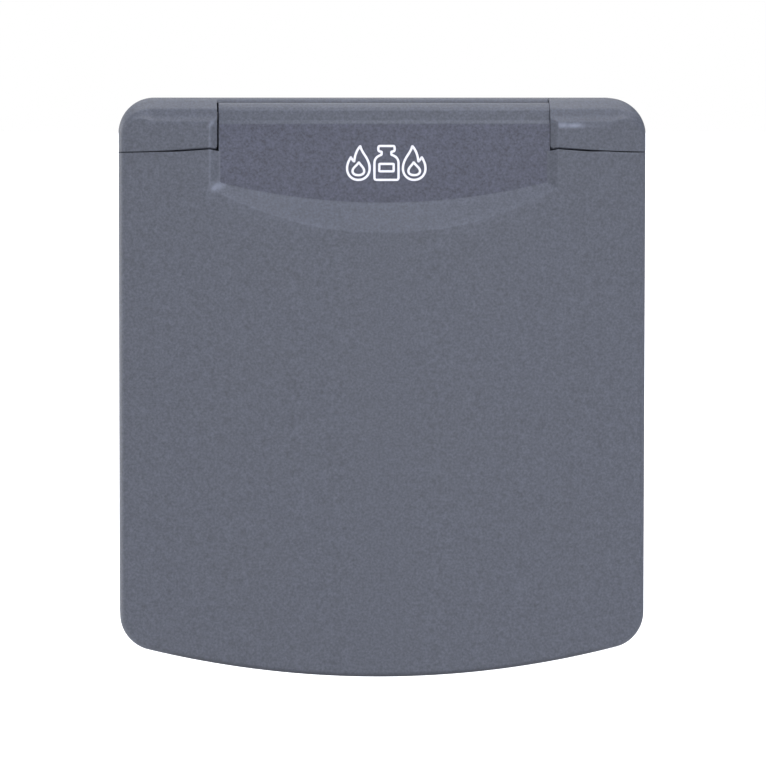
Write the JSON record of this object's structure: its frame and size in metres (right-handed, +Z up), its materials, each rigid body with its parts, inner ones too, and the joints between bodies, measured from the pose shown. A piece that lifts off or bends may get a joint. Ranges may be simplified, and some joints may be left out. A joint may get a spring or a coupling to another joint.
{
  "type": "gas outlet cover",
  "caption": "Flush wall box with a crowned, sprung flap hinged between two shoulders; inside, a gas shut-off valve with a self-closing bayonet outlet and a compression inlet.",
  "frame": {"origin": "on the wall face (the back of the gasket), at the middle of the cover's height and width", "axes": "+Z up, -Y out of the wall towards the user, +X to the user's right, +Y into the wall"},
  "size_m": [0.132, 0.108, 0.1446],
  "materials": {
    "slate_plastic": "fine spark grain, satin",
    "lid_plastic": "fine spark grain, satin",
    "box_plastic": "plain moulded, satin",
    "foam_rubber": "closed-cell foam",
    "black_rubber": "smooth nitrile",
    "zinc_steel": "bright zinc",
    "bright_steel": "ground",
    "black_steel": "blackened",
    "spring_steel": "drawn wire",
    "brass": "machined",
    "copper": "annealed",
    "plated_ball": "polished",
    "white_seat": "turned PTFE",
    "yellow_sleeve": "dipped vinyl"
  },
  "bodies": {
    "case": {"base_frame": "slate_plastic", "wall_gasket": "foam_rubber", "rear_box": "box_plastic", "box_screws": "zinc_steel", "lid_spring": "spring_steel", "valve_body": "brass", "front_seat": "white_seat", "rear_seat": "white_seat", "stem_seal": "black_rubber", "gland_nut": "brass", "bulkhead_washer": "zinc_steel", "bulkhead_nut": "brass", "olive": "copper", "inlet_nut": "brass", "socket": "brass", "socket_seal": "black_rubber", "spring_retainer": "bright_steel"},
    "flap": {"lid": "lid_plastic", "lid_seal": "black_rubber", "hinge_pins": "black_steel"},
    "tap": {"valve_ball": "plated_ball", "valve_stem": "brass", "lever": "zinc_steel", "lever_sleeve": "yellow_sleeve", "lever_nut": "zinc_steel"},
    "check_poppet": {"poppet": "brass", "poppet_seal": "black_rubber", "poppet_spring": "spring_steel"}
  },
  "joints": [
    {"name": "lid_hinge", "type": "hinge", "parent": "case", "child": "flap", "pos_m": [0, -0.0163, 0.0676], "axis": [-1, 0, 0], "range_deg": [0, 108], "stiffness_Nm_per_rad": 0.03, "springref_deg": -51.57, "deforming": ["lid_spring"]},
    {"name": "lever_turn", "type": "hinge", "parent": "case", "child": "tap", "pos_m": [0, 0.04, 0.017], "axis": [0, 0, -1], "range_deg": [0, 90]},
    {"name": "poppet_slide", "type": "slide", "parent": "case", "child": "check_poppet", "axis": [0, 1, 0], "range_m": [0, 0.0035], "stiffness_N_per_m": 400, "springref_m": -0.004, "deforming": ["poppet_spring"]}
  ]
}
